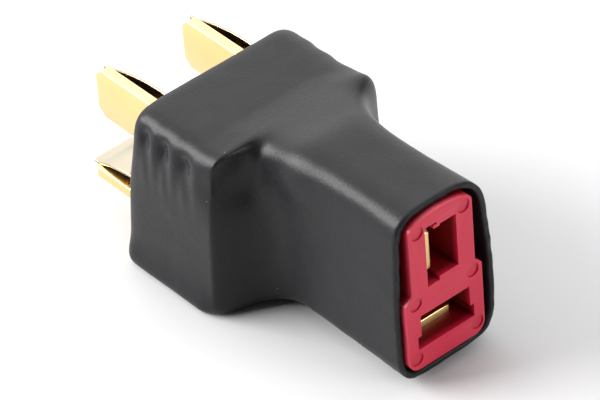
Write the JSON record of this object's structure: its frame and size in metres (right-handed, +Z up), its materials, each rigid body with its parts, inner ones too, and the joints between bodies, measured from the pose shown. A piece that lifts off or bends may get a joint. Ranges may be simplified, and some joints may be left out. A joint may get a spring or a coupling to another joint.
{
  "type": "parallel battery adapter",
  "caption": "Straight parallel battery adapter: flat-blade plugs side by side feed a flat-blade socket inside a shrunk sleeve, soldered with no wires.",
  "frame": {"origin": "middle of the underside, under the middle of the length and of the width", "axes": "+X along the adapter towards the socket's mating face, +Y across the two plugs, +Z up; the plug blades point along -X"},
  "size_m": [0.0378, 0.0198, 0.018],
  "materials": {
    "sleeve_film": "satin black shrunk film, finely grained",
    "red_nylon": "moulded red nylon, satin",
    "gold_contact": "bright gold plate over stamped brass",
    "gold_spring": "bright gold plate over rolled spring strip",
    "bare_copper": "bare rolled copper strip",
    "solder": "frozen solder, bright and smooth"
  },
  "bodies": {
    "root": {"heat_shrink_sleeve": "sleeve_film", "socket_housing": "red_nylon", "socket_contact_upper": "gold_contact", "socket_contact_lower": "gold_contact", "left_plug_housing": "red_nylon", "right_plug_housing": "red_nylon", "left_blade_upper": "gold_contact", "left_blade_lower": "gold_contact", "right_blade_upper": "gold_contact", "right_blade_lower": "gold_contact", "left_spring_upper": "gold_spring", "left_spring_lower": "gold_spring", "right_spring_upper": "gold_spring", "right_spring_lower": "gold_spring", "upper_bridge": "bare_copper", "lower_bridge": "bare_copper", "solder_socket_upper": "solder", "solder_socket_lower": "solder", "solder_left_upper": "solder", "solder_left_lower": "solder", "solder_right_upper": "solder", "solder_right_lower": "solder"}
  },
  "joints": []
}
